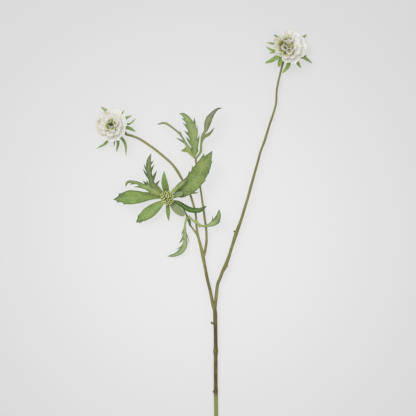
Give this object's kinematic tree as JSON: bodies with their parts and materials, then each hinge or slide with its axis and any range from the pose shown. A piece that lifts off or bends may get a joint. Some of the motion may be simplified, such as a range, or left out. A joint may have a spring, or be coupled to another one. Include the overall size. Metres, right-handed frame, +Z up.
{
  "type": "scabiosa flower",
  "caption": "Cut scabiosa spray lying flat: branching green stem, open white pincushion heads, a green bud head and deeply cut leaves.",
  "frame": {"origin": "centre of the bounding box in plan, at the height of the surface that the spray lies on", "axes": "+Y along the spray from the stem's cut end to the flower heads, +Z up from the surface, +X to the right seen from above"},
  "size_m": [0.2819, 0.5281, 0.0314],
  "materials": {
    "stem": "satin",
    "leaves": "matte",
    "bracts": "matte",
    "petals": "matte",
    "bud": "matte",
    "eyes": "matte"
  },
  "bodies": {
    "root": {"stem": "stem", "flower_left_florets": "petals", "flower_left_involucre": "bracts", "flower_left_eye": "eyes", "flower_right_florets": "petals", "flower_right_involucre": "bracts", "flower_right_eye": "eyes", "bud_florets": "bud", "bud_involucre": "bracts", "leaf_pair_down": "leaves", "leaf_pair_scale": "leaves", "leaf_pair_side": "leaves", "leaf_rosette_curled": "leaves", "leaf_rosette_cut": "leaves", "leaf_rosette_dark": "leaves", "leaf_rosette_fold": "leaves", "leaf_rosette_great": "leaves", "leaf_rosette_left": "leaves", "leaf_rosette_low": "leaves", "leaf_tuft_left": "leaves", "leaf_tuft_middle": "leaves", "leaf_tuft_right": "leaves"}
  },
  "joints": []
}
